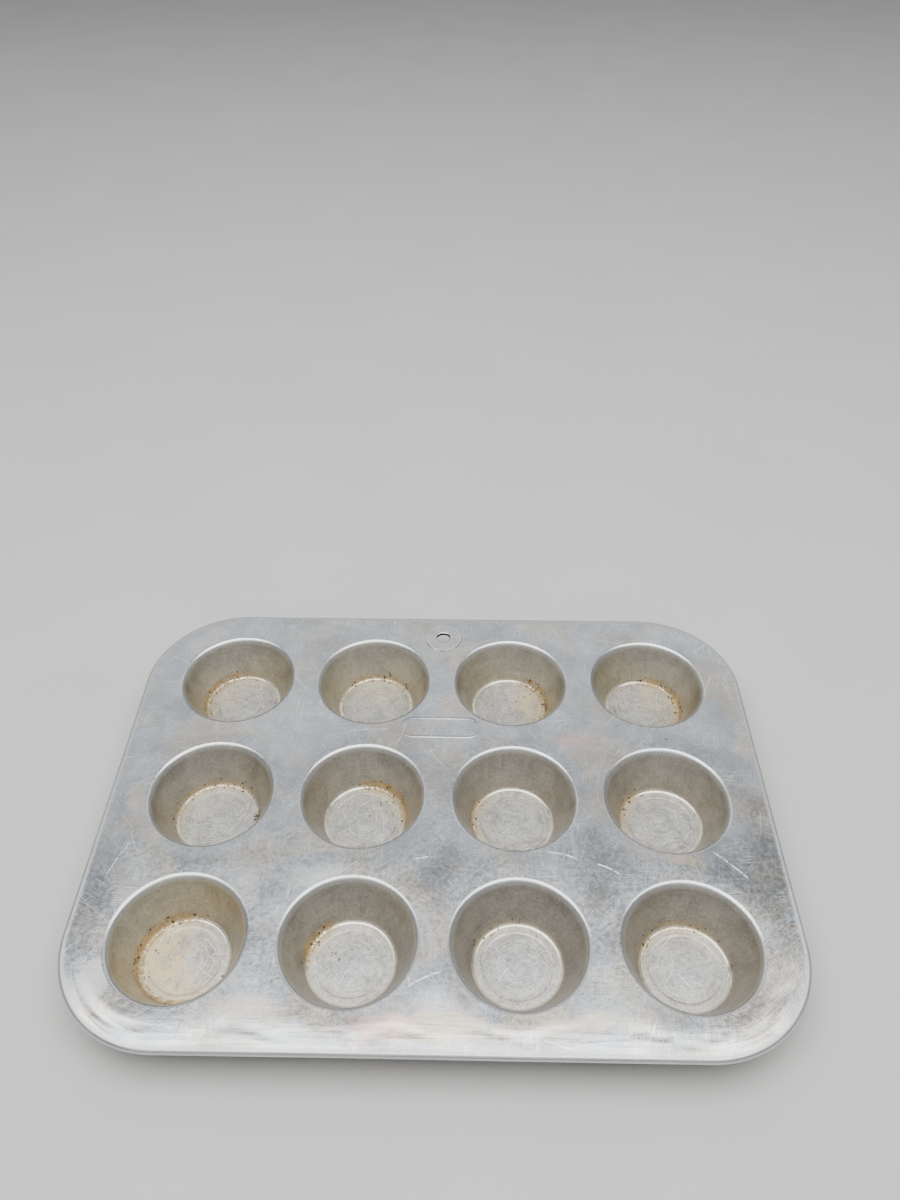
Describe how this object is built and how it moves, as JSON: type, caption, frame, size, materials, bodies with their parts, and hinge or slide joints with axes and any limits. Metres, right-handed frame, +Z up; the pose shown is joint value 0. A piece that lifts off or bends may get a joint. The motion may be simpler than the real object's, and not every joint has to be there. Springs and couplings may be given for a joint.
{
  "type": "muffin tin",
  "caption": "Rectangular muffin tin of light aluminium sheet with tapered round cups, rounded corners, a curled rim and an eyelet to hang it by.",
  "frame": {"origin": "middle of the plane that the cup bottoms stand on, under the centre of the rim's outline", "axes": "+X to the right along the long side, +Y towards the edge with the hanging hole, +Z up out of the cups"},
  "size_m": [0.356, 0.275, 0.026],
  "materials": {
    "sheet": "worn satin",
    "rim_wire": "drawn wire",
    "eyelet": "burnished"
  },
  "bodies": {
    "root": {"deck_sheet": "sheet", "cup_front_1": "sheet", "cup_front_2": "sheet", "cup_front_3": "sheet", "cup_front_4": "sheet", "cup_middle_1": "sheet", "cup_middle_2": "sheet", "cup_middle_3": "sheet", "cup_middle_4": "sheet", "cup_rear_1": "sheet", "cup_rear_2": "sheet", "cup_rear_3": "sheet", "cup_rear_4": "sheet", "rim_curl": "sheet", "rim_wire": "rim_wire", "hanging_eyelet": "eyelet"}
  },
  "joints": []
}
